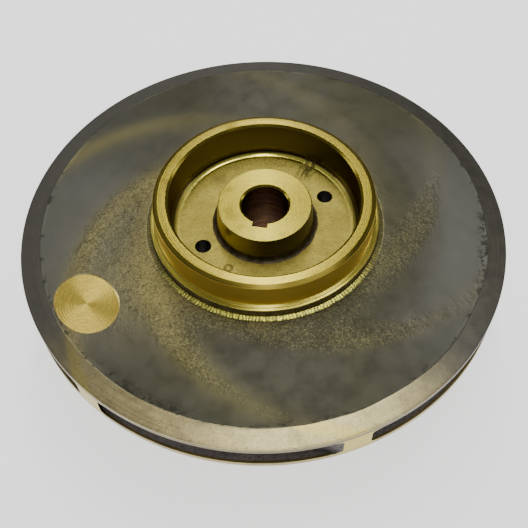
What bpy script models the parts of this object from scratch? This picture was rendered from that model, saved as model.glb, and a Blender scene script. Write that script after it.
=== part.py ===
"""Closed centrifugal pump impeller, lying on its suction ring with the hub side up.

Lengths are in millimetres in this file and become metres in one place, MM.
The axis is Z, the origin is on it at the bottom of the suction ring.
Heights named ..._UP are measured from the rim's top edge, the level RIM_Z.
"""

import math

import bmesh
import bpy
from mathutils import Matrix, Vector

MM = 0.001
GAP = 0.3            # clearance between pieces that meet
STEPS = 96           # straight sides around every turned surface

# Overall
RIM_R = 130.0
RIM_Z = 68.0         # top edge of the rim above the ground

# Bore and hub
BORE_R = 12.5
BORE_CHAMFER = 1.0
KEY_WIDTH = 8.0
KEY_TOP = 15.8       # from the axis to the keyway's floor
KEY_TURN = math.radians(-101.8)
HUB_TOP_UP = 14.9
HUB_TOP_R = 25.0
HUB_ROOT_R = 28.8     # where the fillet at the hub's foot meets the chamber's floor
HUB_FILLET = 2.5
HUB_NOSE_UP = -47.0
HUB_NOSE_R = 22.0

# Back shroud
CHAMBER_FLOOR_UP = 0.3
BACK_UP = 1.7        # cast face between the rear ring and the rim band
BAND_IN_R = 119.9    # where the turned band of the rim starts
BACK_EDGE = 3.7      # thickness at the rim
BACK_SLOPE = math.radians(2.0)
BACK_ARC_R = 40.0    # the curve from the shroud down to the hub's nose

# Rear ring, which stands on a collar in a shallow seat of the back shroud
REAR_RING_TOP_UP = 22.3
RING_IN_R = 50.4
RING_OUT_R = 58.2
RING_IN_CHAMFER = 1.2
RING_OUT_CHAMFER = 2.4
RING_OUT_CHAMFER_DROP = 0.7
RING_FILLET = 2.0
COLLAR_R = 61.2
COLLAR_UP = 7.5
LAND_OUT_R = 64.1    # the bright turned land around the collar's foot

# Front shroud and suction ring
OUTLET_HEIGHT = 12.3
FRONT_EDGE = 3.4
FRONT_SLOPE = math.radians(10.0)
FRONT_ARC_R = 22.0
EYE_R = 50.5
SUCTION_RING_TOP_UP = -40.0
SHOULDER_R = 61.2
SHOULDER_UP = -36.0

# Vanes
VANES = 6
VANE_TIP_TURN = math.radians(-71.9)
VANE_THICK = 5.6
VANE_EYE_R = 54.0
VANE_HUB_R = 42.0
VANE_NOSE_DEPTH = 2.0    # height of the vane's tapered inner end
VANE_STATIONS = 40
VANE_TIP_R = RIM_R - 0.1

# Balance holes and the milled balance spot
HOLE_R = 4.0
HOLE_CIRCLE_R = 37.0
HOLE_TURN = math.radians(25.7)
SPOT_R = 17.0
SPOT_STRETCH = 1.75      # the shallow cut runs out along the rim, so its outline is an oval
SPOT_STRETCH_TURN = math.radians(-54.2)
SPOT_CIRCLE_R = 103.5
SPOT_TURN = math.radians(-151.0)
SPOT_FLOOR_UP = 0.9

COLOURS = {
    # name: (red, green, blue), roughness
    "cast_bronze": ((0.30, 0.27, 0.17), 0.55),
    "turned_bronze": ((0.62, 0.53, 0.34), 0.30),
    "hub_bronze": ((0.60, 0.52, 0.36), 0.32),
    "front_bronze": ((0.34, 0.29, 0.17), 0.52),
    "suction_ring_bronze": ((0.60, 0.50, 0.31), 0.32),
    "vane_bronze": ((0.48, 0.40, 0.24), 0.50),
}


def material(name):
    colour, roughness = COLOURS[name]
    made = bpy.data.materials.new(name)
    made.use_nodes = True
    shader = made.node_tree.nodes["Principled BSDF"]
    shader.inputs["Base Color"].default_value = (*colour, 1.0)
    shader.inputs["Metallic"].default_value = 1.0
    shader.inputs["Roughness"].default_value = roughness
    return made


def add_object(name, mesh, mat, smooth_degrees=30.0):
    obj = bpy.data.objects.new(name, mesh)
    bpy.context.scene.collection.objects.link(obj)
    mesh.materials.append(mat)
    mesh.shade_smooth()
    mesh.set_sharp_from_angle(angle=math.radians(smooth_degrees))
    return obj


def to_mesh(name, bm):
    bmesh.ops.recalc_face_normals(bm, faces=bm.faces)
    mesh = bpy.data.meshes.new(name)
    bm.to_mesh(mesh)
    bm.free()
    return mesh


def turned(name, outline, mat, steps=STEPS):
    """A solid of revolution from a closed outline of (radius, height above the rim's top edge)."""
    bm = bmesh.new()
    rings = []
    for step in range(steps):
        turn = 2.0 * math.pi * step / steps
        ring = []
        for radius, up in outline:
            point = Vector((radius * math.cos(turn), radius * math.sin(turn), up + RIM_Z))
            ring.append(bm.verts.new(point * MM))
        rings.append(ring)
    for step in range(steps):
        here = rings[step]
        there = rings[(step + 1) % steps]
        for i in range(len(outline)):
            j = (i + 1) % len(outline)
            bm.faces.new((here[i], there[i], there[j], here[j]))
    return add_object(name, to_mesh(name, bm), mat)


def cylinder_cutter(name, radius, circle_r, turn, low_up, high_up, sides=48):
    bm = bmesh.new()
    place = Matrix.Translation(
        Vector(
            (
                circle_r * math.cos(turn),
                circle_r * math.sin(turn),
                RIM_Z + (low_up + high_up) / 2.0,
            )
        )
        * MM
    )
    bmesh.ops.create_cone(
        bm,
        cap_ends=True,
        segments=sides,
        radius1=radius * MM,
        radius2=radius * MM,
        depth=(high_up - low_up) * MM,
        matrix=place,
    )
    return as_cutter(name, bm)


def spot_cutter(name, low_up, high_up, sides=64):
    """An upright oval plug where the balance spot is milled."""
    bm = bmesh.new()
    centre_x = SPOT_CIRCLE_R * math.cos(SPOT_TURN)
    centre_y = SPOT_CIRCLE_R * math.sin(SPOT_TURN)
    ends = []
    for up in (low_up, high_up):
        ring = []
        for side in range(sides):
            turn = 2.0 * math.pi * side / sides
            reach = SPOT_R + SPOT_STRETCH * math.cos(2.0 * (turn - SPOT_STRETCH_TURN))
            x = centre_x + reach * math.cos(turn)
            y = centre_y + reach * math.sin(turn)
            ring.append(bm.verts.new(Vector((x, y, RIM_Z + up)) * MM))
        ends.append(ring)
    for side in range(sides):
        after = (side + 1) % sides
        bm.faces.new((ends[0][side], ends[0][after], ends[1][after], ends[1][side]))
    bm.faces.new(ends[0])
    bm.faces.new(ends[1])
    return as_cutter(name, bm)


def box_cutter(name, size, centre, turn):
    bm = bmesh.new()
    bmesh.ops.create_cube(bm, size=1.0)
    scale = Matrix.Diagonal(Vector((size[0] * MM, size[1] * MM, size[2] * MM, 1.0)))
    place = Matrix.Translation(Vector(centre) * MM)
    bm.transform(Matrix.Rotation(turn, 4, "Z") @ place @ scale)
    return as_cutter(name, bm)


def as_cutter(name, bm):
    cutter = bpy.data.objects.new(name, to_mesh(name, bm))
    bpy.context.scene.collection.objects.link(cutter)
    cutter.hide_render = True
    cutter.display_type = "WIRE"
    return cutter


def cut(obj, cutter):
    modifier = obj.modifiers.new("cut_" + cutter.name, "BOOLEAN")
    modifier.operation = "DIFFERENCE"
    modifier.solver = "EXACT"
    modifier.object = cutter


def arc(centre_r, centre_up, radius, from_degrees, to_degrees, count):
    points = []
    for i in range(count):
        angle = math.radians(from_degrees + (to_degrees - from_degrees) * i / (count - 1))
        points.append((centre_r + radius * math.cos(angle), centre_up + radius * math.sin(angle)))
    return points


# The passage face of the back shroud is a shallow cone that an arc turns down to the hub's nose.
BACK_ARC_CENTRE_R = HUB_NOSE_R + BACK_ARC_R


def back_cone_up(radius):
    return -BACK_EDGE - (RIM_R - radius) * math.tan(BACK_SLOPE)


BACK_TANGENT_R = BACK_ARC_CENTRE_R - BACK_ARC_R * math.sin(BACK_SLOPE)
BACK_ARC_CENTRE_UP = back_cone_up(BACK_TANGENT_R) - BACK_ARC_R * math.cos(BACK_SLOPE)


def back_face_up(radius):
    if radius >= BACK_TANGENT_R:
        return back_cone_up(radius)
    across = BACK_ARC_CENTRE_R - radius
    return BACK_ARC_CENTRE_UP + math.sqrt(max(BACK_ARC_R**2 - across**2, 0.0))


# The front shroud's passage face is a cone that an arc turns into the eye.
FRONT_ARC_CENTRE_R = EYE_R + FRONT_ARC_R
FRONT_TANGENT_R = FRONT_ARC_CENTRE_R - FRONT_ARC_R * math.sin(FRONT_SLOPE)


def front_cone_up(radius):
    return -BACK_EDGE - OUTLET_HEIGHT - (RIM_R - radius) * math.tan(FRONT_SLOPE)


FRONT_ARC_CENTRE_UP = front_cone_up(FRONT_TANGENT_R) - FRONT_ARC_R * math.cos(FRONT_SLOPE)


def front_face_up(radius):
    if radius >= FRONT_TANGENT_R:
        return front_cone_up(radius)
    across = FRONT_ARC_CENTRE_R - radius
    return FRONT_ARC_CENTRE_UP + math.sqrt(max(FRONT_ARC_R**2 - across**2, 0.0))


def build_hub(mat):
    nose = [
        (BORE_R + BORE_CHAMFER, HUB_NOSE_UP),
        (HUB_NOSE_R - 1.0, HUB_NOSE_UP),
        (HUB_NOSE_R, HUB_NOSE_UP + 1.0),
    ]
    seam_r = HUB_ROOT_R - GAP
    curve = []
    for i in range(9):
        radius = HUB_NOSE_R + (seam_r - HUB_NOSE_R) * (i / 8.0) ** 2
        curve.append((radius, back_face_up(radius)))
    fillet = arc(seam_r, CHAMBER_FLOOR_UP + 0.1 + HUB_FILLET, HUB_FILLET, 270.0, 188.0, 6)
    barrel = fillet + [
        (HUB_TOP_R, HUB_TOP_UP - 0.6),
        (HUB_TOP_R - 0.6, HUB_TOP_UP),
        (BORE_R + BORE_CHAMFER, HUB_TOP_UP),
        (BORE_R, HUB_TOP_UP - BORE_CHAMFER),
        (BORE_R, HUB_NOSE_UP + BORE_CHAMFER),
    ]
    hub = turned("hub", nose + curve[1:] + barrel, mat)
    length = HUB_TOP_UP - HUB_NOSE_UP + 20.0
    middle = RIM_Z + (HUB_TOP_UP + HUB_NOSE_UP) / 2.0
    size = (KEY_TOP, KEY_WIDTH, length)
    cut(hub, box_cutter("keyway_cutter", size, (KEY_TOP / 2.0, 0.0, middle), KEY_TURN))
    return hub


def build_back_shroud(mat):
    top = [
        (HUB_ROOT_R, CHAMBER_FLOOR_UP),
        (COLLAR_R + GAP, CHAMBER_FLOOR_UP),
        (COLLAR_R + GAP, BACK_UP),
        (LAND_OUT_R, BACK_UP),
        (BAND_IN_R, BACK_UP),
        (RIM_R - 0.3, 0.0),
        (RIM_R, -0.3),
        (RIM_R, -BACK_EDGE),
    ]
    bottom = [(BACK_TANGENT_R, back_face_up(BACK_TANGENT_R))]
    for i in range(1, 15):
        radius = BACK_TANGENT_R + (HUB_ROOT_R - BACK_TANGENT_R) * i / 14.0
        bottom.append((radius, back_face_up(radius)))
    shroud = turned("back_shroud", top + bottom, mat)
    for number, turn in enumerate((HOLE_TURN, HOLE_TURN + math.pi), 1):
        name = f"balance_hole_cutter_{number}"
        cut(shroud, cylinder_cutter(name, HOLE_R, HOLE_CIRCLE_R, turn, -40.0, 20.0))
    cut(shroud, spot_cutter("balance_spot_cutter", SPOT_FLOOR_UP, 10.0))
    return shroud


def build_rear_ring(mat):
    foot = CHAMBER_FLOOR_UP + GAP
    fillet = arc(RING_IN_R - RING_FILLET, foot + RING_FILLET, RING_FILLET, 0.0, -90.0, 5)
    outline = fillet + [
        (COLLAR_R, foot),
        (COLLAR_R, COLLAR_UP),
        (RING_OUT_R, COLLAR_UP),
        (RING_OUT_R, REAR_RING_TOP_UP - RING_OUT_CHAMFER_DROP),
        (RING_OUT_R - RING_OUT_CHAMFER, REAR_RING_TOP_UP),
        (RING_IN_R + RING_IN_CHAMFER, REAR_RING_TOP_UP),
        (RING_IN_R, REAR_RING_TOP_UP - RING_IN_CHAMFER),
    ]
    return turned("rear_ring", outline, mat)


def build_front_shroud(mat):
    end_up = SUCTION_RING_TOP_UP + GAP
    start = math.degrees(math.asin((end_up - FRONT_ARC_CENTRE_UP) / FRONT_ARC_R))
    slope = math.degrees(FRONT_SLOPE)
    inside = [(RIM_R, front_cone_up(RIM_R))]
    inside += arc(FRONT_ARC_CENTRE_R, FRONT_ARC_CENTRE_UP, FRONT_ARC_R, 90.0 + slope, 180.0 - start, 13)
    outer_r = FRONT_ARC_R - FRONT_EDGE
    outside = [(SHOULDER_R, end_up), (SHOULDER_R, SHOULDER_UP)]
    outside += arc(FRONT_ARC_CENTRE_R, FRONT_ARC_CENTRE_UP, outer_r, 124.0, 90.0 + slope, 7)
    outside += [
        (RIM_R - 0.4, front_cone_up(RIM_R) - FRONT_EDGE),
        (RIM_R, front_cone_up(RIM_R) - FRONT_EDGE + 0.4),
    ]
    return turned("front_shroud", inside + outside, mat)


def build_suction_ring(mat):
    start = math.degrees(math.asin((SUCTION_RING_TOP_UP - FRONT_ARC_CENTRE_UP) / FRONT_ARC_R))
    inside = arc(FRONT_ARC_CENTRE_R, FRONT_ARC_CENTRE_UP, FRONT_ARC_R, 180.0 - start, 180.0, 6)
    outline = inside + [
        (EYE_R, -RIM_Z + 1.0),
        (EYE_R + 1.0, -RIM_Z),
        (RING_OUT_R - 1.5, -RIM_Z),
        (RING_OUT_R, -RIM_Z + 1.5),
        (RING_OUT_R, SUCTION_RING_TOP_UP),
    ]
    return turned("suction_ring", outline, mat)


def vane_angle(radius):
    """How far a vane has turned back from its tip at this radius."""
    inward = RIM_R - radius
    return -math.radians(1.03 * inward + 0.0027 * inward**2)


def vane_half_width(radius):
    """Half the angle that a vane takes up around the axis at this radius."""
    step = 0.01
    lean = radius * (vane_angle(radius + step) - vane_angle(radius)) / step
    return VANE_THICK / 2.0 * math.hypot(1.0, lean) / radius


def vane_section(radius, tip_turn):
    """One closed section of a vane: across its top, then back across its foot."""
    top = back_face_up(radius) - GAP
    foot = front_face_up(max(radius, VANE_EYE_R)) + GAP
    rise = max(VANE_EYE_R - radius, 0.0) / (VANE_EYE_R - VANE_HUB_R)
    foot += (top - VANE_NOSE_DEPTH - foot) * rise
    tops = []
    feet = []
    for side in (-1.0, 0.0, 1.0):
        turn = tip_turn + vane_angle(radius) + side * vane_half_width(radius)
        for up, row in ((top, tops), (foot, feet)):
            row.append(Vector((radius * math.cos(turn), radius * math.sin(turn), up + RIM_Z)) * MM)
    return tops + feet[::-1]


def build_vane(number, mat):
    tip_turn = VANE_TIP_TURN + 2.0 * math.pi * number / VANES
    bm = bmesh.new()
    rows = []
    for station in range(VANE_STATIONS):
        radius = VANE_HUB_R + (VANE_TIP_R - VANE_HUB_R) * station / (VANE_STATIONS - 1)
        rows.append([bm.verts.new(point) for point in vane_section(radius, tip_turn)])
    sides = len(rows[0])
    for here, there in zip(rows, rows[1:]):
        for i in range(sides):
            j = (i + 1) % sides
            bm.faces.new((here[i], here[j], there[j], there[i]))
    bm.faces.new(rows[0])
    bm.faces.new(rows[-1])
    name = f"vane_{number + 1}"
    return add_object(name, to_mesh(name, bm), mat)


def clear_scene():
    for obj in list(bpy.data.objects):
        bpy.data.objects.remove(obj, do_unlink=True)


def main():
    clear_scene()
    build_back_shroud(material("cast_bronze"))
    build_rear_ring(material("turned_bronze"))
    build_hub(material("hub_bronze"))
    build_front_shroud(material("front_bronze"))
    build_suction_ring(material("suction_ring_bronze"))
    vane_mat = material("vane_bronze")
    for number in range(VANES):
        build_vane(number, vane_mat)


main()
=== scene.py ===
"""Looks of the closed centrifugal pump impeller: a casting with turned faces, hub side up.

Lengths are in millimetres here and become metres through MM.
Heights called up are measured from the rim's top edge, as in the part's own source.
Angles go round the axis from +X, against the clock seen from the hub side.
"""

import math

import bmesh
import bpy
import numpy as np
from mathutils import Matrix, Vector, noise


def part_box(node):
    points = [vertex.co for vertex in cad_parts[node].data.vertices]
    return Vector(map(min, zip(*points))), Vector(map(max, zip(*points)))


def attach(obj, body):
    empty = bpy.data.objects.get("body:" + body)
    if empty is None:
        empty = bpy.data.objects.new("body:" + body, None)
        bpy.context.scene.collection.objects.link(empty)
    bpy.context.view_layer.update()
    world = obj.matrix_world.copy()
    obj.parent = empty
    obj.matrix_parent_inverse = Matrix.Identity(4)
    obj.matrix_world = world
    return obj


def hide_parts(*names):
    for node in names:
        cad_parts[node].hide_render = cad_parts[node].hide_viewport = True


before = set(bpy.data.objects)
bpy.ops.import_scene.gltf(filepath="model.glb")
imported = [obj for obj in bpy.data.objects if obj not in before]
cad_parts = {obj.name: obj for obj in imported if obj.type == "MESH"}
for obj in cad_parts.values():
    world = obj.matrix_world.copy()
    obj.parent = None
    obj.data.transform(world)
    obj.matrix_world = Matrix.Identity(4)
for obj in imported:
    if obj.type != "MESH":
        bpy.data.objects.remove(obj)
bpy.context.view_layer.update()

MM = 0.001


def lowest(node):
    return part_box(node)[0] / MM


def highest(node):
    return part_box(node)[1] / MM


# Sizes that the frame gives, with the cast face's height above the rim's top edge
BACK_UP = 1.7
RIM_R = highest("back_shroud").x
RIM_Z = highest("back_shroud").z - BACK_UP
RING_TOP_UP = highest("rear_ring").z - RIM_Z
COLLAR_R = highest("rear_ring").x
RING_OUT_R = highest("suction_ring").x
HUB_TOP_UP = highest("hub").z - RIM_Z
NOSE_UP = lowest("hub").z - RIM_Z

# Rear side
GAP = 0.15
FLOOR_UP = 0.3
FLOOR_OUT_R = 49.4
FLOOR_UNEVEN_R = 48.0
BACK_IN_R = 27.4
HUB_TOP_R = 25.0
HUB_SIDE_FOOT_R = 26.1
HUB_FOOT_R = 28.8
HUB_FILLET = 2.5
BORE_R = 12.5
BORE_BREAK = 1.0
KEY_WIDTH = 8.0
KEY_TOP = 15.8
KEY_BREAK = 0.25
KEY_TURN = math.radians(-101.8)
RING_IN_R = 50.4
RING_IN_CHAMFER = 1.2
RING_OUT_CHAMFER = 2.4
RING_OUT_CHAMFER_DROP = 0.7
RING_FILLET = 4.0
FILLET_IN_R = 46.2
COLLAR_UP = 7.5
LAND_IN_UP = 2.0
LAND_OUT_R = 64.1
LAND_OUT_UP = 1.5
BAND_IN_R = 119.9
BACK_EDGE = 3.7
BACK_SLOPE = math.radians(2.0)
BACK_ARC_R = 40.0
NOSE_R = 22.0

# Suction side; the front shroud ends and the suction ring begins at SPLIT_UP
OUTLET_HEIGHT = 12.3
PASSAGE_INSET = 1.5
FRONT_EDGE = 3.4
FRONT_SLOPE = math.radians(10.0)
FRONT_ARC_R = 22.0
FRONT_BAND_R = RIM_R - 9.0
EYE_R = 50.5
SHOULDER_UP = -36.0
SPLIT_UP = -40.0
RING_HEAD_UP = -39.95
RING_FOOT_UP = -RIM_Z

# Vanes; a root reaches VANE_BURY into the shroud that it stands on
VANES = 6
VANE_TIP_TURN = math.radians(-71.9)
VANE_THICK = 5.6
VANE_EYE_R = 54.0
VANE_HUB_R = 42.0
VANE_FILLET = 1.8
VANE_BURY = 0.25
VANE_STATIONS = 90
VANE_TIP_COLUMNS = 8

# Holes and the milled balance spot, whose shallow cut runs out along the rim and not across it
HOLE_R = 4.0
HOLE_BREAK = 0.35
HOLE_CIRCLE_R = 37.0
HOLE_TURN = math.radians(25.7)
HOLE_FOOT_UP = -40.0
SPOT_R = 17.0
SPOT_STRETCH = 1.75
SPOT_STRETCH_TURN = math.radians(-54.2)
SPOT_CIRCLE_R = 103.5
SPOT_TURN = math.radians(-151.0)
SPOT_UP = 1.0
SPOT_DISC = 0.03

# Marks in the chamber's floor
WRINKLE_TURN = math.radians(55.5)
SMUDGE_R = 39.0
SMUDGE_TURN = math.radians(129.5)
CAST_MARK_R = 36.5
CAST_MARK_TURN = math.radians(-123.0)
CAST_MARK_SIZE = 1.9

# Steps round the axis, and the angle in degrees from which an edge is drawn sharp
CASTING_STEPS = 480
FRONT_STEPS = 360
RING_STEPS = 256
SPOT_SIDES = 128
HOLE_SIDES = 48
SHARP = 32.0
VANE_SHARP = 40.0

# Radius at which the sizes of noise drawn out round the axis are true
GROOVE_R = 60.0

# Camera, fitted to the photograph's circles; the image is taken as 528 pixels wide
IMAGE_WIDTH = 528.0
FOCAL_PIXELS = 757.0
CENTRE_SHIFT_PIXELS = 30.0
SENSOR_WIDTH = 36.0
CAMERA_DISTANCE = 413.0
CAMERA_ELEVATION = math.radians(51.96)
CAMERA_AIM = (14.36, -28.87)
CAMERA_ROLL = math.radians(1.456)

# Studio, in metres, with powers in watts; the overhead strip is near end, far end and radiance
FLOOR_GLOW = 1.2
WORLD_GLOW = 0.22
LIGHT_AIM = (0.0, 0.0, 0.07)
STRIP_UP = 1.05
STRIP_WIDTH = 0.13
STRIP = [(-0.4, -0.1, 4.5), (-0.1, 0.15, 6.5), (0.15, 0.45, 8.0)]
STRIP += [(0.45, 0.85, 12.0), (0.85, 1.2, 7.0)]
FILLS = {
    "second": ((0.28, 0.14, 1.05), (0.24, 0.24), 1.2),
    "left": ((-0.36, 0.56, 1.05), (0.12, 0.8), 0.45),
    "low_left": ((-1.5, 0.3, 0.45), (0.5, 0.5), 5.0),
    "low_right": ((1.5, 0.3, 0.45), (0.5, 0.5), 4.0),
    "low_front": ((0.0, -1.6, 0.35), (1.6, 0.3), 3.0),
}


# Shape helpers


def arc(centre_r, centre_up, radius, start, end, count):
    angles = np.radians(np.linspace(start, end, count))
    across = centre_r + radius * np.cos(angles)
    up = centre_up + radius * np.sin(angles)
    return list(zip(across.tolist(), up.tolist()))


def line(start, end, count):
    """Points from start to end, without the end itself."""
    return np.linspace(start, end, count, endpoint=False).tolist()


class PassageFace:
    """A shroud's face to the water: a cone that falls inward from the rim, then an arc to the eye."""

    def __init__(self, rim_up, slope, arc_r, inner_r):
        self.rim_up = rim_up
        self.slope = slope
        self.arc_r = arc_r
        self.centre_r = inner_r + arc_r
        self.tangent_r = self.centre_r - arc_r * math.sin(slope)
        self.centre_up = self.cone_up(self.tangent_r) - arc_r * math.cos(slope)

    def cone_up(self, radius):
        return self.rim_up - (RIM_R - radius) * math.tan(self.slope)

    def up(self, radius):
        if radius >= self.tangent_r:
            return self.cone_up(radius)
        across = self.centre_r - radius
        return self.centre_up + math.sqrt(max(self.arc_r**2 - across**2, 0.0))

    def angle(self, up):
        """Where the arc reaches a height, in degrees round its centre."""
        return 180.0 - math.degrees(math.asin((up - self.centre_up) / self.arc_r))

    def curve(self, radius, start, end, count):
        return arc(self.centre_r, self.centre_up, radius, start, end, count)


BACK_FACE = PassageFace(-BACK_EDGE, BACK_SLOPE, BACK_ARC_R, NOSE_R)
FRONT_FACE = PassageFace(-BACK_EDGE - OUTLET_HEIGHT, FRONT_SLOPE, FRONT_ARC_R, EYE_R)
FRONT_SKIN_ARC_R = FRONT_ARC_R - FRONT_EDGE
FRONT_SKIN_R = FRONT_FACE.centre_r - FRONT_SKIN_ARC_R * math.sin(FRONT_SLOPE)
FRONT_SKIN_UP = FRONT_FACE.centre_up + FRONT_SKIN_ARC_R * math.cos(FRONT_SLOPE)


def vane_angle(radius):
    """How far a vane has run round the axis at a radius, from its tip."""
    inward = RIM_R - radius
    return -np.radians(1.03 * inward + 0.0027 * inward**2)


def vane_lean(radius):
    """How much a vane runs around the axis for each millimetre that it runs outward."""
    step = 0.01
    return radius * (vane_angle(radius + step) - vane_angle(radius)) / step


def smooth(value, low, high):
    part = np.clip((value - low) / (high - low), 0.0, 1.0)
    return part * part * (3.0 - 2.0 * part)


def ripple(x, y, size, seed):
    """Smooth noise of about the given size in millimetres."""
    return noise.noise(Vector((x / size, y / size, seed)))


def flat(radius, turn):
    return radius * math.cos(turn), radius * math.sin(turn)


def point_at(radius, turn, up):
    """A place in metres from its radius, turn and height above the rim's top edge."""
    return Vector((*flat(radius, turn), up + RIM_Z)) * MM


SPOT_CENTRE = flat(SPOT_CIRCLE_R, SPOT_TURN)


class Outline(list):
    """The closed outline of a turned piece: each point with the material of the band after it."""

    def add(self, points, slot):
        self += [(point, slot) for point in points]

    def near(self, radius, up, slot, *offsets):
        """Points round a corner, as offsets from it."""
        self.add([(radius + across, up + above) for across, above in offsets], slot)


def turned_mesh(name, outline, materials, steps, move=None):
    """A solid of revolution; move(radius, turn, up) may shift a point to make cast skin uneven."""
    bm = bmesh.new()
    rings = []
    for step in range(steps):
        turn = 2.0 * math.pi * step / steps
        ring = []
        for (radius, up), _ in outline:
            at, height = (radius, up) if move is None else move(radius, turn, up)
            ring.append(bm.verts.new(point_at(at, turn, height)))
        rings.append(ring)
    for here, there in zip(rings, rings[1:] + rings[:1]):
        for i, (_, slot) in enumerate(outline):
            j = (i + 1) % len(outline)
            face = bm.faces.new((here[i], there[i], there[j], here[j]))
            face.material_index = slot
    return finished(name, bm, materials)


def linked(name, data):
    """A new object in the scene."""
    obj = bpy.data.objects.new(name, data)
    bpy.context.scene.collection.objects.link(obj)
    return obj


def shade(mesh, sharp):
    mesh.shade_smooth()
    mesh.set_sharp_from_angle(angle=math.radians(sharp))


def finished(name, bm, materials, sharp=SHARP):
    """The object made from a bmesh, with its materials and its shading."""
    bmesh.ops.recalc_face_normals(bm, faces=bm.faces)
    mesh = bpy.data.meshes.new(name)
    bm.to_mesh(mesh)
    bm.free()
    for mat in materials:
        mesh.materials.append(mat)
    shade(mesh, sharp)
    return linked(name, mesh)


def cut_with(obj, cutters):
    """Cuts the cutters' shapes out of obj for good, and removes the cutters."""
    for cutter in cutters:
        modifier = obj.modifiers.new("cut", "BOOLEAN")
        modifier.operation = "DIFFERENCE"
        modifier.solver = "EXACT"
        modifier.material_mode = "TRANSFER"
        modifier.object = cutter
    graph = bpy.context.evaluated_depsgraph_get()
    mesh = bpy.data.meshes.new_from_object(obj.evaluated_get(graph))
    obj.modifiers.clear()
    obj.data = mesh
    shade(mesh, SHARP)
    for cutter in cutters:
        bpy.data.objects.remove(cutter)


def capped(name, bm, rings, mat):
    """The solid between rings of points, closed by the first and the last of them."""
    for upper, lower in zip(rings, rings[1:]):
        for i in range(len(upper)):
            j = (i + 1) % len(upper)
            bm.faces.new((upper[i], lower[i], lower[j], upper[j]))
    bm.faces.new(rings[0])
    bm.faces.new(rings[-1])
    return finished(name, bm, [mat])


def plug(name, outline, centre, mat, sides, stretch=0.0):
    """A solid turned about its own upright axis at centre; outline runs from its top down."""
    bm = bmesh.new()
    rings = []
    for radius, up in outline:
        ring = []
        for side in range(sides):
            around = 2.0 * math.pi * side / sides
            x, y = flat(radius + stretch * math.cos(2.0 * (around - SPOT_STRETCH_TURN)), around)
            ring.append(bm.verts.new(Vector((centre[0] + x, centre[1] + y, up + RIM_Z)) * MM))
        rings.append(ring)
    return capped(name, bm, rings, mat)


def even_shading(obj):
    """Keeps flat faces flat where they meet small rounded edges."""
    modifier = obj.modifiers.new("even_shading", "WEIGHTED_NORMAL")
    modifier.keep_sharp = True


def paint(obj, **amounts):
    """Stores a number at every point for each amount: a function of radius and turn, or one number."""
    co = np.empty(len(obj.data.vertices) * 3, np.float32)
    obj.data.vertices.foreach_get("co", co)
    co = co.reshape(-1, 3) / MM
    radius = np.hypot(co[:, 0], co[:, 1])
    turn = np.arctan2(co[:, 1], co[:, 0])
    for name, amount in amounts.items():
        values = amount(radius, turn) if callable(amount) else np.full(len(radius), amount)
        layer = obj.data.attributes.new(name, "FLOAT", "POINT")
        layer.data.foreach_set("value", np.asarray(values, np.float32))


# Materials


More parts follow.
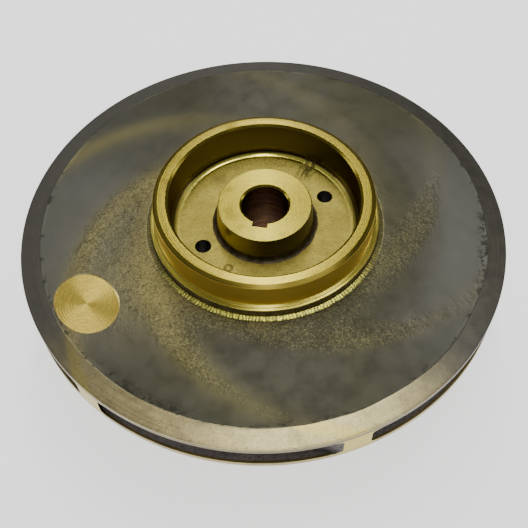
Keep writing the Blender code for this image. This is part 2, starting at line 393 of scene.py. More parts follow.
class Look:
    """A Principled material, with short calls for the nodes that the metals here share."""

    def __init__(self, name, metallic=1.0):
        self.material = bpy.data.materials.new(name)
        self.material.use_nodes = True
        self.tree = self.material.node_tree
        self.shader = self.tree.nodes["Principled BSDF"]
        self.shader.inputs["Metallic"].default_value = metallic
        coordinates = self.node("ShaderNodeTexCoord")
        inputs = {"Vector": coordinates.outputs["Object"], "Scale": 1.0 / MM}
        scaled = self.node("ShaderNodeVectorMath", inputs, operation="SCALE")
        self.place = scaled.outputs["Vector"]

    def node(self, kind, inputs=(), **settings):
        """A new node; inputs gives each socket's name a value or another node's output."""
        made = self.tree.nodes.new(kind)
        for key, value in settings.items():
            setattr(made, key, value)
        for name, value in dict(inputs).items():
            self.join(value, made.inputs[name])
        return made

    def join(self, source, socket):
        if isinstance(source, bpy.types.NodeSocket):
            self.tree.links.new(source, socket)
        elif isinstance(source, tuple) and socket.type == "RGBA":
            socket.default_value = (*source, 1.0)
        else:
            socket.default_value = source

    def math(self, operation, *values):
        made = self.node("ShaderNodeMath", operation=operation)
        for value, socket in zip(values, made.inputs):
            self.join(value, socket)
        return made.outputs[0]

    def times(self, first, second):
        return self.math("MULTIPLY", first, second)

    def plus(self, first, second):
        return self.math("ADD", first, second)

    def ramp(self, value, low, high, start=0.0, end=1.0):
        inputs = {"Value": value, "From Min": low, "From Max": high, "To Min": start, "To Max": end}
        return self.node("ShaderNodeMapRange", inputs, interpolation_type="SMOOTHSTEP").outputs["Result"]

    def noise(self, size, detail=2.0, rough=0.5, place=None, distortion=0.0):
        """Noise whose features are about size millimetres across."""
        inputs = {"Vector": self.place if place is None else place, "Scale": 1.0 / size}
        inputs.update({"Detail": detail, "Roughness": rough, "Distortion": distortion})
        return self.node("ShaderNodeTexNoise", inputs).outputs["Fac"]

    def mix(self, factor, first, second, part=1.0):
        """The second colour over the first, by a factor of which only a part counts."""
        inputs = {"Factor": factor if part == 1.0 else self.times(factor, part), "A": first, "B": second}
        return self.node("ShaderNodeMix", inputs, data_type="RGBA").outputs["Result"]

    def over(self, base, value, low, high, colour, part=1.0):
        """The colour over the base where a value passes from low to high."""
        return self.mix(self.ramp(value, low, high, 0.0, part), base, colour)

    def attribute(self, name):
        return self.node("ShaderNodeAttribute", attribute_name=name).outputs["Fac"]

    def polar(self, centre=(0.0, 0.0)):
        """Radius, turn and height about an upright axis."""
        split = self.node("ShaderNodeSeparateXYZ")
        self.join(self.place, split.inputs[0])
        x = self.math("SUBTRACT", split.outputs["X"], centre[0])
        y = self.math("SUBTRACT", split.outputs["Y"], centre[1])
        squares = self.plus(self.times(x, x), self.times(y, y))
        return self.math("SQRT", squares), self.math("ARCTAN2", y, x), split.outputs["Z"]

    def ring_of(self, turn, scale):
        return self.times(self.math("COSINE", turn), scale), self.times(self.math("SINE", turn), scale)

    def noise_at(self, place, detail, rough, distortion=0.0):
        """Noise in a place given by three measures."""
        made = self.node("ShaderNodeCombineXYZ")
        for value, socket in zip(place, made.inputs):
            self.join(value, socket)
        return self.noise(1.0, detail, rough, made.outputs[0], distortion)

    def grooves(self, polar, across, along, detail=3.0):
        """Noise drawn out around the axis: across and along are its size in millimetres."""
        radius, turn, height = polar
        first = self.math("DIVIDE", self.plus(radius, height), across)
        return self.noise_at((first, *self.ring_of(turn, GROOVE_R / along)), detail, 0.6)

    def spokes(self, radius, turn, across, along, detail=3.0, distortion=0.0):
        """Noise drawn out along the radius: across and along are its size in millimetres."""
        first = self.math("DIVIDE", radius, along)
        return self.noise_at((first, *self.ring_of(turn, GROOVE_R / across)), detail, 0.65, distortion)

    def facing(self, turn, degrees):
        """One toward an angle, falling to minus one on the far side."""
        return self.math("COSINE", self.math("SUBTRACT", turn, math.radians(degrees)))

    def window(self, turn, centre, half_width, fade):
        """One near an angle and nothing away from it."""
        off = self.math("ABSOLUTE", self.math("SUBTRACT", turn, centre))
        return self.ramp(off, half_width + fade, half_width)

    def circled(self, amount, across=0.25):
        """Gloss drawn out across the grooves of a lathe, which run round the object's middle."""
        around = self.node("ShaderNodeTangent", direction_type="RADIAL", axis="Z")
        self.join(around.outputs[0], self.shader.inputs["Tangent"])
        self.shader.inputs["Anisotropic"].default_value = amount
        self.shader.inputs["Anisotropic Rotation"].default_value = across

    def done(self, colour, roughness, heights, depth):
        """Joins it all to the shader; depth is in millimetres for heights of one."""
        bump = self.node("ShaderNodeBump", {"Distance": depth * MM, "Height": heights})
        self.join(colour, self.shader.inputs["Base Color"])
        self.join(roughness, self.shader.inputs["Roughness"])
        self.join(bump.outputs["Normal"], self.shader.inputs["Normal"])
        return self.material


def tinted(colour, tint):
    return tuple(channel * part for channel, part in zip(colour, tint))


def turned_metal(
    name, colour, stain, centre=(0.0, 0.0), metallic=1.0, rough=0.28, vary=0.12, stained=0.35,
    streak=0.75, pitch=0.8, fine=1.0, mark=0.01, stretch=0.6, across=0.25, dirty=None, side=None,
    glancing=(1.0, 1.0, 1.0)
):
    """Metal from the lathe: rings of tool marks, stretched gloss and patches of tarnish.

    pitch and mark are the tool marks' spacing and depth. dirty is the angle with the most tarnish.
    side is an angle and a colour painted toward it: painted light where it is paler, painted shade where it
    is darker. glancing tints the shine at flat angles.
    """
    look = Look(name, metallic)
    polar = look.polar(centre)
    wobble = look.times(look.noise(9.0, 2.0), pitch * 0.35)
    along = look.plus(look.plus(polar[0], polar[2]), wobble)
    rings = look.math("SINE", look.times(along, 2.0 * math.pi / pitch))
    streaks = look.grooves(polar, 0.45, 40.0)
    fines = look.grooves(polar, 0.15, 60.0, 2.0)
    patches = look.times(look.ramp(look.noise(13.0, 4.0, 0.62), 0.5, 0.68), stained)
    if dirty is not None:
        patches = look.times(patches, look.ramp(look.facing(polar[1], dirty), 0.3, 0.95, 0.4, 1.7))
    base = look.mix(look.ramp(streaks, 0.6, 0.36), colour, tinted(colour, (streak,) * 3))
    base = look.mix(patches, base, stain)
    # Painted light and painted shade: the side's colour on the side that faces its angle.
    if side is not None:
        base = look.mix(look.ramp(look.facing(polar[1], side[0]), 0.05, 0.95), base, side[1])
    gloss = look.ramp(streaks, 0.3, 0.75, rough - vary / 2.0, rough + vary / 2.0)
    gloss = look.plus(gloss, look.times(patches, 0.15))
    heights = look.times(look.plus(streaks, fines), fine)
    heights = look.plus(look.times(rings, 0.5), heights)
    look.circled(stretch, across)
    look.join(glancing, look.shader.inputs["Specular Tint"])
    return look.done(base, gloss, heights, mark)


def cast_skin():
    """The back shroud's cast face: satin grey patina, rubbed to brass where the vanes print through, with
    painted light, painted shade and painted glints.
    """
    look = Look("cast_skin", metallic=0.8)
    radius = look.polar()[0]
    grainy = look.attribute("grainy")
    ragged = look.plus(grainy, look.ramp(look.noise(5.0, 4.0, 0.65), 0.3, 0.7, -0.18, 0.18))
    amount = look.times(look.ramp(ragged, 0.12, 0.8), look.ramp(grainy, 0.0, 0.1))
    cloud = look.noise(45.0, 4.0, 0.55, distortion=0.5)
    blotch = look.noise(12.0, 4.0, 0.6)
    crinkle = look.noise(3.2, 4.0, 0.6, distortion=0.8)
    grain = look.noise(0.9, 4.0, 0.66)
    base = look.over((0.083, 0.081, 0.047), cloud, 0.35, 0.65, (0.09, 0.086, 0.063))
    base = look.over(base, blotch, 0.46, 0.76, (0.052, 0.051, 0.037), 0.36)
    # Painted light on the sides and painted shade toward the front and the back left.
    base = look.mix(look.attribute("light"), base, (0.17, 0.168, 0.148), 0.85)
    base = look.mix(look.attribute("dim"), base, (0.046, 0.045, 0.028), 0.8)
    base = look.mix(look.attribute("brass"), base, (0.275, 0.232, 0.082), 0.85)
    dark = look.times(look.ramp(grain, 0.53, 0.38), amount)
    base = look.mix(dark, base, (0.046, 0.046, 0.022), 0.5)
    creases = look.times(look.ramp(crinkle, 0.47, 0.36), amount)
    base = look.mix(creases, base, (0.04, 0.04, 0.025), 0.45)
    # Brass grain and painted glints: brighter brass colour on the grain's peaks.
    painted_glints = look.times(look.ramp(grain, 0.5, 0.68), amount)
    base = look.mix(painted_glints, base, (0.3, 0.262, 0.105), 0.45)
    lip = look.ramp(radius, BAND_IN_R - 3.0, BAND_IN_R - 0.4)
    scuffs = look.times(look.ramp(look.noise(6.0, 5.0, 0.75), 0.52, 0.6), lip)
    base = look.mix(scuffs, base, (0.026, 0.025, 0.017), 0.75)
    # Dark marks at the front left and painted shade of the step at the right.
    dirt = look.times(look.ramp(look.noise(4.0, 5.0, 0.75), 0.46, 0.56), look.attribute("dirt"))
    base = look.mix(dirt, base, (0.028, 0.026, 0.017), 0.8)
    gloss = look.math("SUBTRACT", look.ramp(blotch, 0.3, 0.8, 0.44, 0.56), look.times(painted_glints, 0.08))
    satin = look.times(look.noise(0.6, 2.0, 0.6), 0.12)
    rough = look.times(look.plus(grain, look.times(crinkle, 1.5)), amount)
    return look.done(base, gloss, look.plus(rough, satin), 0.15)


def cast_passage(name, painted_shade_part):
    """Water side of the shrouds and vanes: sandy and dull, its colour raised as painted light in the narrow
    passages; a part below one makes a darker copy as painted shade.
    """
    look = Look(name, metallic=0.2)
    tint = (painted_shade_part,) * 3
    cloud = look.noise(14.0, 4.0, 0.6)
    sand = look.noise(1.3, 4.0, 0.72)
    plain = tinted((0.3, 0.275, 0.28), tint)
    base = look.over(plain, cloud, 0.35, 0.7, tinted((0.4, 0.36, 0.33), tint))
    base = look.over(base, sand, 0.47, 0.38, tinted((0.1, 0.094, 0.092), tint), 0.7)
    base = look.over(base, sand, 0.55, 0.68, tinted((0.62, 0.57, 0.48), tint), 0.6)
    return look.done(base, look.ramp(sand, 0.3, 0.8, 0.72, 0.5), sand, 0.3)


def cast_outside():
    """The suction side's cast skin, grey-brown patina with brass showing faintly through as painted glints
    on its grain.
    """
    look = Look("cast_outside", metallic=0.8)
    cloud = look.noise(30.0, 5.0, 0.6, distortion=0.5)
    grain = look.noise(0.95, 2.0, 0.6)
    base = look.over((0.105, 0.093, 0.062), cloud, 0.35, 0.68, (0.14, 0.122, 0.08))
    base = look.over(base, grain, 0.46, 0.38, (0.035, 0.031, 0.021), 0.5)
    edge = look.math("SUBTRACT", 0.66, look.times(look.attribute("brass"), 0.1))
    # Painted glints: brighter brass colour on the grain's peaks.
    painted_glints = look.ramp(grain, edge, look.plus(edge, 0.07))
    base = look.mix(painted_glints, base, (0.42, 0.34, 0.16), 0.8)
    return look.done(base, look.ramp(cloud, 0.3, 0.7, 0.44, 0.56), grain, 0.16)


def floor_fold(look, radius, turn, drag):
    """The radial fold at the back right, torn at its edges."""
    fold = look.times(look.window(turn, WRINKLE_TURN, 0.03, 0.13), look.ramp(drag, 0.44, 0.58))
    return look.times(fold, look.ramp(radius, 33.0, 40.0))


def floor_smudge(look, cloud, grain):
    off = look.plus(look.polar(flat(SMUDGE_R, SMUDGE_TURN))[0], look.times(cloud, 4.0))
    return look.times(look.ramp(off, 8.5, 3.5), look.ramp(grain, 0.4, 0.58, 0.4, 0.9))


def floor_mark(look):
    """The small round cast mark, a thin ring."""
    radius = look.polar(flat(CAST_MARK_R, CAST_MARK_TURN))[0]
    off = look.math("ABSOLUTE", look.math("SUBTRACT", radius, CAST_MARK_SIZE))
    return look.ramp(off, 0.75, 0.1)


def floor_fillet_highlight(look, radius, turn, fold):
    """Where the painted highlight lies on the fillet up to the ring, bright behind and broken by the fold.
    """
    curve = look.times(look.ramp(radius, FILLET_IN_R - 0.5, FILLET_IN_R + 0.5), look.ramp(fold, 0.7, 0.1))
    return look.times(curve, look.ramp(look.math("SINE", turn), 0.15, 0.85, 0.1, 1.0))


def chamber_floor():
    """The golden floor between the hub and the rear ring, with its radial fold, smudge and cast mark,
    painted light behind, a painted highlight on the fillet and painted shade against the ring's wall.
    """
    look = Look("chamber_floor")
    radius, turn = look.polar()[:2]
    grain = look.noise(0.85, 3.0, 0.68)
    cloud = look.noise(9.0, 4.0, 0.6)
    drag = look.spokes(radius, turn, 2.3, 6.0, 3.0, 0.4)
    fold = floor_fold(look, radius, turn, drag)
    mark = floor_mark(look)
    curve = floor_fillet_highlight(look, radius, turn, fold)
    base = look.over((0.42, 0.34, 0.068), cloud, 0.35, 0.7, (0.54, 0.45, 0.095))
    # Painted light: paler over the back half of the floor.
    behind = look.times(look.math("MAXIMUM", look.math("SINE", turn), 0.0), look.ramp(radius, 24.0, 44.0))
    base = look.mix(behind, base, (0.92, 0.78, 0.18), 0.8)
    base = look.over(base, grain, 0.5, 0.38, (0.17, 0.13, 0.04), 0.6)
    base = look.over(base, drag, 0.56, 0.7, (0.18, 0.14, 0.05), 0.45)
    base = look.mix(fold, base, (0.075, 0.062, 0.028), 0.75)
    base = look.mix(floor_smudge(look, cloud, grain), base, (0.16, 0.115, 0.05), 0.6)
    base = look.mix(mark, base, (0.12, 0.085, 0.03), 0.35)
    # Painted highlight along the fillet, strongest behind.
    base = look.mix(look.times(curve, look.ramp(drag, 0.7, 0.52, 0.4, 1.0)), base, (1.0, 0.9, 0.15))
    # Painted shade where the fillet turns up into the ring's inner wall.
    base = look.over(base, radius, FILLET_IN_R + 2.6, FILLET_IN_R + 3.3, (0.15, 0.115, 0.045))
    heights = look.plus(grain, look.times(drag, 0.7))
    heights = look.math("SUBTRACT", heights, look.times(fold, 1.2))
    heights = look.plus(heights, look.times(mark, 1.8))
    heights = look.times(heights, look.ramp(curve, 0.0, 1.0, 1.0, 0.15))
    gloss = look.math("SUBTRACT", look.ramp(grain, 0.3, 0.75, 0.48, 0.6), look.times(curve, 0.38))
    return look.done(base, gloss, heights, 0.15)


def cast_foot(name, dark, pale, bright=(0.28, 0.23, 0.12)):
    """Dull cast metal: the fillets at the hub's and the collar's foot, and the holes' walls."""
    look = Look(name, metallic=0.75)
    cloud = look.noise(5.0, 4.0, 0.6)
    sand = look.noise(0.9, 3.0, 0.7)
    base = look.over(dark, cloud, 0.38, 0.66, pale)
    base = look.over(base, sand, 0.58, 0.7, bright, 0.5)
    base = look.over(base, sand, 0.44, 0.34, (0.035, 0.03, 0.02), 0.6)
    return look.done(base, look.ramp(sand, 0.3, 0.7, 0.46, 0.58), sand, 0.2)


def chattered_land():
    """The bright land round the collar, with the radial marks of a chattering tool and a painted highlight
    toward the front.
    """
    look = Look("chattered_land")
    radius, turn = look.polar()[:2]
    uneven = look.times(look.noise(3.5, 3.0, 0.6), 11.0)
    ticks = look.math("SINE", look.plus(look.times(turn, 234.0), uneven))
    spokes = look.spokes(radius, turn, 0.9, 4.0)
    chatter = look.plus(look.times(ticks, 0.55), look.ramp(spokes, 0.35, 0.65, -0.45, 0.45))
    sand = look.noise(0.7, 3.0, 0.65)
    # Painted highlight: paler and brighter toward the front.
    near = look.ramp(look.facing(turn, -86.0), 0.35, 0.95)
    pale = look.mix(near, (0.3, 0.27, 0.09), (1.0, 0.96, 0.13))
    dark = look.mix(near, (0.13, 0.115, 0.05), (0.3, 0.26, 0.08))
    base = look.over(dark, chatter, -0.5, 0.5, pale)
    base = look.over(base, sand, 0.48, 0.36, (0.12, 0.105, 0.045), 0.7)
    worn = look.times(look.ramp(radius, LAND_OUT_R - 1.3, LAND_OUT_R - 0.2), look.ramp(spokes, 0.62, 0.46))
    base = look.mix(worn, base, (0.13, 0.12, 0.06), 0.8)
    heights = look.plus(look.times(chatter, 0.6), sand)
    return look.done(base, 0.34, heights, 0.05)


def rim_scratch(look, polar):
    """Scratches that run across the band, not round it."""
    place = (*look.ring_of(polar[1], 90.0), look.math("DIVIDE", polar[0], 6.0))
    return look.ramp(look.noise_at(place, 3.0, 0.7), 0.56, 0.7)


def rim_metal(name, tint, rough):
    """The rim's turned metal: pale where no painted shade greys it, brassy over the vanes, greyed by painted
    shade everywhere but in front.
    """
    look = Look(name)
    polar = look.polar()
    blot = look.noise(7.0, 4.0, 0.62)
    specks = look.noise(0.9, 3.0, 0.65)
    rings = look.grooves(polar, 0.35, 45.0)
    print_edge = look.ramp(blot, 0.3, 0.7, 0.1, 0.45)
    print_on = look.ramp(look.attribute("print"), print_edge, look.plus(print_edge, 0.5))
    pale = tinted((0.73, 0.625, 0.33), tint)
    base = look.over(pale, blot, 0.4, 0.7, tinted((0.88, 0.765, 0.4), tint))
    tarnish = look.ramp(look.noise(11.0, 5.0, 0.68), 0.48, 0.64, 0.0, 0.5)
    base = look.mix(tarnish, base, tinted((0.42, 0.335, 0.19), tint))
    base = look.mix(print_on, base, tinted((0.92, 0.78, 0.26), tint), 0.85)
    base = look.over(base, rings, 0.55, 0.38, (0.38, 0.34, 0.18), 0.3)
    base = look.mix(rim_scratch(look, polar), base, (0.3, 0.26, 0.12), 0.35)
    base = look.over(base, specks, 0.43, 0.36, (0.18, 0.16, 0.09), 0.5)
    # Painted shade: dull grey everywhere but in front, paler at the back left.
    grime = look.times(look.attribute("grime"), look.ramp(blot, 0.2, 0.7, 1.0, 0.95))
    dull = look.over((0.143, 0.136, 0.115), blot, 0.3, 0.75, (0.168, 0.16, 0.138))
    dull = look.mix(look.attribute("pale"), dull, (0.195, 0.186, 0.165))
    dull = look.mix(print_on, dull, (0.27, 0.228, 0.125), 0.65)
    base = look.mix(grime, base, dull)
    gloss = look.plus(look.ramp(rings, 0.3, 0.7, rough, rough + 0.08), look.times(grime, 0.1))
    look.circled(0.3, 0.0)
    return look.done(base, gloss, look.plus(rings, look.times(specks, 0.5)), 0.025)


def rim_step():
    """The small step inside the rim's band: a painted highlight at the front left, dark elsewhere."""
    look = Look("rim_step")
    turn = look.polar()[1]
    blot = look.noise(5.0, 4.0, 0.65)
    # Painted highlight at the front left.
    bright = look.times(look.window(turn, math.radians(-122.0), 0.3, 0.4), look.ramp(blot, 0.3, 0.5))
    dull = look.over((0.066, 0.063, 0.05), blot, 0.4, 0.6, (0.11, 0.105, 0.085))
    base = look.mix(bright, dull, (0.52, 0.46, 0.25))
    return look.done(base, look.ramp(blot, 0.3, 0.7, 0.36, 0.5), blot, 0.05)


def bore_metal():
    """The bore's wall, reddish brown and darkened as painted shade inside the bore, with the lines of the
    boring bar.
    """
    look = Look("bore_metal")
    lines = look.grooves(look.polar(), 0.7, 70.0)
    blot = look.noise(6.0, 3.0, 0.6)
    base = look.over((0.075, 0.028, 0.01), lines, 0.4, 0.65, (0.2, 0.115, 0.045))
    base = look.over(base, blot, 0.45, 0.7, (0.05, 0.025, 0.012), 0.5)
    return look.done(base, 0.32, lines, 0.03)


def floor_paint():
    """Plain pale studio floor."""
    look = Look("studio_floor", metallic=0.0)
    grain = look.noise(2.0, 2.0)
    look.join((1.0, 1.0, 1.0), look.shader.inputs["Emission Color"])
    look.join(FLOOR_GLOW, look.shader.inputs["Emission Strength"])
    return look.done(look.ramp(grain, 0.0, 1.0, 0.9, 0.92), 0.9, grain, 0.01)


CAST = cast_skin()
# Painted light in the passages, and a darker copy as painted shade on the vanes' sides.
PASSAGE = cast_passage("cast_passage", 1.0)
VANE_SIDE_SHADE = cast_passage("vane_side_painted_shade", 0.32)
OUTSIDE = cast_outside()
CHAMBER = chamber_floor()
FOOT = cast_foot("cast_foot", (0.078, 0.059, 0.028), (0.18, 0.142, 0.072))
# Painted shade: the holes' walls are nearly black.
HOLE = cast_foot("hole_wall_painted_shade", (0.012, 0.009, 0.006), (0.022, 0.017, 0.011), (0.05, 0.038, 0.022))
COLLAR = cast_foot("cast_collar", (0.15, 0.115, 0.05), (0.26, 0.2, 0.1))
LAND = chattered_land()
# One rim metal in shaded copies: the tints are painted shade, darkest on the rear edge, and also warm the
# edges and the tips.
BAND = rim_metal("rim_band", (0.86, 0.84, 0.76), 0.3)
REAR_EDGE = rim_metal("rear_rim_edge", (0.22, 0.21, 0.17), 0.3)
EDGE = rim_metal("rim_edge", (0.62, 0.58, 0.4), 0.3)
TIP = rim_metal("vane_tip", (0.66, 0.63, 0.26), 0.28)
BORE = bore_metal()
# Painted shade: the ring top's side colour darkens it toward the back.
RING_TOP = turned_metal(
    "ring_top", (0.34, 0.27, 0.034), (0.15, 0.09, 0.025),
    pitch=0.9, rough=0.27, mark=0.004, vary=0.08, stretch=0.7, stained=0.5,
    dirty=126.0, side=(90.0, (0.205, 0.16, 0.024))
)
# Painted shade: the chamfer is a darker copy of the ring top's metal.
RING_CHAMFER = turned_metal(
    "ring_chamfer", (0.2, 0.153, 0.024), (0.11, 0.08, 0.016),
    pitch=0.7, rough=0.3, mark=0.003, vary=0.08, stretch=0.7
)
RING_WALL = turned_metal(
    "ring_wall", (0.66, 0.45, 0.06), (0.5, 0.32, 0.048),
    pitch=0.5, rough=0.36, mark=0.0004, streak=0.94, metallic=0.86, vary=0.04
)
# Painted light: the ledge is a much brighter copy of the ring's turned metal.
PAINTED_LIGHT_LEDGE = turned_metal("ring_ledge_painted_light", (0.8, 0.68, 0.12), (0.6, 0.48, 0.09), pitch=0.9, mark=0.002)
# Painted shade: the ring's inside is kept dark; its side colour is painted light toward the back left.
RING_INSIDE = turned_metal(
    "ring_inside", (0.075, 0.063, 0.03), (0.046, 0.038, 0.02),
    pitch=0.5, rough=0.36, mark=0.002, across=0.0, side=(112.0, (0.2, 0.17, 0.085)),
    glancing=(0.42, 0.36, 0.25)
)
# Painted light: the hub's side is paler toward its left.
HUB_SIDE = turned_metal(
    "hub_side", (0.175, 0.152, 0.095), (0.1, 0.085, 0.055),
    pitch=0.6, rough=0.3, mark=0.001, streak=0.85, across=0.0, side=(-175.0, (1.0, 0.84, 0.26))
)
HUB_TOP = turned_metal(
    "hub_top", (0.245, 0.198, 0.024), (0.17, 0.13, 0.02),
    pitch=1.15, rough=0.27, mark=0.006, vary=0.08, stretch=0.7
)
LIP = turned_metal("spot_lip", (0.9, 0.78, 0.36), (0.7, 0.58, 0.26), rough=0.42, mark=0.004)
STEP = rim_step()
SUCTION_METAL = turned_metal("suction_metal", (0.52, 0.41, 0.15), (0.33, 0.24, 0.1), mark=0.003)
EYE_METAL = turned_metal("eye_metal", (0.2, 0.165, 0.085), (0.13, 0.105, 0.06), rough=0.36, mark=0.004)
SPOT_METAL = turned_metal(
    "spot_metal", (0.68, 0.505, 0.09), (0.5, 0.35, 0.07),
    centre=SPOT_CENTRE, pitch=1.4, rough=0.27, streak=0.96, fine=0.12, stretch=0.88, across=0.0
)


# Pieces


def printed_vanes(radius, turn, width):
    """One over each vane, fading to both sides; width is in millimetres."""
    sector = 2.0 * math.pi / VANES
    off = (turn - VANE_TIP_TURN - vane_angle(radius) + sector / 2.0) % sector - sector / 2.0
    distance = off * radius / np.hypot(1.0, vane_lean(radius))
    return np.exp(-((distance / width) ** 2))


def toward(turn, degrees, low, high):
    """One on the side that faces an angle and nothing on the far side."""
    return smooth(np.cos(turn - math.radians(degrees)), low, high)


def brass_amount(radius, turn):
    """How far the cast skin is rubbed to brass: over the vanes, beside the ring and near the spot."""
    printed = printed_vanes(radius, turn, 5.5 + 2.5 * smooth(radius, 115.0, 66.0))
    printed = printed * (0.14 + 0.52 * toward(turn, -168.0, 0.0, 0.95))
    halo = np.exp(-(((radius - LAND_OUT_R) / 7.0) ** 2)) * (0.1 + 0.4 * toward(turn, -150.0, -0.1, 0.9))
    return np.clip(printed + halo + 0.7 * front_left(radius, turn), 0.0, 1.0)


def front_left(radius, turn):
    """The rougher corner of the casting, between the spot and the ring."""
    x = radius * np.cos(turn)
    y = radius * np.sin(turn)
    return np.exp(-(((x + 66.0) / 26.0) ** 2 + ((y + 36.0) / 30.0) ** 2))


def rim_print(radius, turn):
    """Brass patches on the rim over the vanes' tips, clear in front and faint behind."""
    return printed_vanes(radius, turn, 3.8) * (0.08 + 0.82 * toward(turn, -105.0, 0.0, 0.85))


def skin_painted_light_amount(radius, turn):
    """Painted light: paler grey sides, left and right."""
    right = toward(turn, -12.0, 0.55, 1.0) * smooth(radius, 80.0, 106.0)
    left = 0.7 * toward(turn, 176.0, 0.45, 0.95) * smooth(radius, 66.0, 90.0)
    return np.maximum(right, left)


def dim_amount(radius, turn):
    """Painted shade: darker toward the front and the back left."""
    front = 0.75 * toward(turn, -82.0, 0.35, 0.95) * smooth(radius, 66.0, 78.0)
    back_left = 0.65 * toward(turn, 128.0, 0.75, 1.0) * smooth(radius, 66.0, 84.0)
    return np.maximum(front, back_left)


def dirt_amount(radius, turn):
    """Two dark crescents inside the rim's step: marks at the front left and painted shade of the step at the
    right.
    """
    crescents = np.maximum(toward(turn, -121.0, 0.95, 0.99), toward(turn, -11.0, 0.965, 0.995))
    return crescents * smooth(radius, BAND_IN_R - 7.0, BAND_IN_R - 1.5)


def paler_rim_shade_amount(radius, turn):
    """Where the rim's painted shade is paler: at the back left."""
    return toward(turn, 140.0, -0.3, 0.9)


def grime_amount(radius, turn):
    """Painted shade on the rim, everywhere but in front."""
    return 1.0 - toward(turn, -96.0, 0.55, 0.95)


def front_grime_amount(radius, turn):
    """The same painted shade on the front shroud's edge, fainter."""
    return 0.2 + 0.4 * (1.0 - toward(turn, -93.0, 0.1, 0.8))


def grainy_amount(radius, turn):
    """Where sand grain shows: along the vanes except at the back, round the ring and front left."""
    printed = printed_vanes(radius, turn, 4.5 + 5.0 * smooth(radius, 108.0, 68.0))
    printed = printed * (1.0 - 0.92 * toward(turn, 90.0, -0.05, 0.6))
    printed = printed * (1.0 - 0.65 * smooth(radius, 84.0, 112.0))
    halo = np.exp(-(((radius - LAND_OUT_R) / 13.0) ** 2)) * (0.15 + 0.65 * toward(turn, -125.0, -0.5, 0.6))
    return np.clip(printed + halo + 0.8 * front_left(radius, turn), 0.0, 1.0)


def back_outline():
    """The section: over the chamber's floor, the land and the cast face, and back along the passage."""
    skin, floor, land, band, edge, passage, lip = range(7)
    outline = Outline()
    outline.add(line((BACK_IN_R, FLOOR_UP), (FLOOR_OUT_R, FLOOR_UP), 22), floor)
    outline.add([(FLOOR_OUT_R, FLOOR_UP), (COLLAR_R + GAP, FLOOR_UP)], land)
    outline.add([(COLLAR_R + GAP, LAND_IN_UP - GAP), (COLLAR_R + 2.0 * GAP, LAND_IN_UP)], land)
    outline.add([(LAND_OUT_R - 0.4, LAND_OUT_UP)], land)
    outline.add(line((LAND_OUT_R + 0.2, BACK_UP), (BAND_IN_R - 0.3, BACK_UP), 62), skin)
    outline.near(BAND_IN_R, BACK_UP, lip, (-0.28, 0.02), (-0.05, -0.04))
    outline.add(line((BAND_IN_R + 0.1, BACK_UP - 0.22), (RIM_R - 0.35, 0.0), 9), band)
    outline.near(RIM_R, 0.0, band, (-0.35, 0.0), (-0.1, -0.1))
    outline.near(RIM_R, 0.0, edge, (0.0, -0.4))
    outline.near(RIM_R, -BACK_EDGE, edge, (0.0, 0.35), (-0.1, 0.1), (-0.4, 0.0))
    inward = np.linspace(RIM_R - PASSAGE_INSET, BACK_IN_R, 26).tolist()
    outline.add([(radius, BACK_FACE.up(radius)) for radius in inward], passage)
    return outline


def back_skin(radius, turn, up):
    """Makes the cast face, the step to the band and the chamber's floor slightly uneven."""
    x, y = flat(radius, turn)
    if up == BACK_UP and radius < BAND_IN_R:
        edge = smooth(radius, LAND_OUT_R, LAND_OUT_R + 4.0)
        up += edge * (0.13 * ripple(x, y, 30.0, 1.0) + 0.05 * ripple(x, y, 7.0, 2.0)) - 0.05
    if abs(radius - BAND_IN_R) < 0.4:
        radius += 0.5 * ripple(x, y, 22.0, 5.0) + 0.12 * ripple(x, y, 3.5, 6.0)
    if up == FLOOR_UP and HUB_FOOT_R < radius < FLOOR_UNEVEN_R:
        up += 0.06 * ripple(x, y, 6.0, 3.0)
    return radius, up


def back_cutters():
    """The two balance holes and the milled spot's pocket."""
    wide = HOLE_R + HOLE_BREAK
    hole = [(wide, 5.0), (wide, FLOOR_UP), (HOLE_R, FLOOR_UP - HOLE_BREAK), (HOLE_R, HOLE_FOOT_UP)]
    cutters = []
    for number in range(2):
        centre = flat(HOLE_CIRCLE_R, HOLE_TURN + math.pi * number)
        cutters.append(plug(f"hole_cutter_{number}", hole, centre, HOLE, HOLE_SIDES))
    spot = [(SPOT_R + 0.3, 6.0), (SPOT_R + 0.3, BACK_UP + 0.3), (SPOT_R - 0.5, SPOT_UP)]
    cutters.append(plug("spot_cutter", spot, SPOT_CENTRE, LIP, SPOT_SIDES, SPOT_STRETCH))
    return cutters


def build_back_shroud():
    mats = [CAST, CHAMBER, LAND, BAND, REAR_EDGE, PASSAGE, STEP]
    shroud = turned_mesh("back_shroud_casting", back_outline(), mats, CASTING_STEPS, back_skin)
    cut_with(shroud, back_cutters())
    paint(
        shroud, brass=brass_amount, grainy=grainy_amount, light=skin_painted_light_amount, dim=dim_amount,
        dirt=dirt_amount, pale=paler_rim_shade_amount, grime=grime_amount, print=rim_print
    )
    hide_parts("back_shroud")
    return shroud


def build_spot():
    """The milled floor of the balance spot, a thin disc on the pocket's bottom."""
    radius = SPOT_R - 0.55
    outline = [(radius, SPOT_UP + SPOT_DISC), (radius, SPOT_UP + 0.002)]
    disc = plug("balance_spot", outline, SPOT_CENTRE, SPOT_METAL, SPOT_SIDES, SPOT_STRETCH)
    return disc


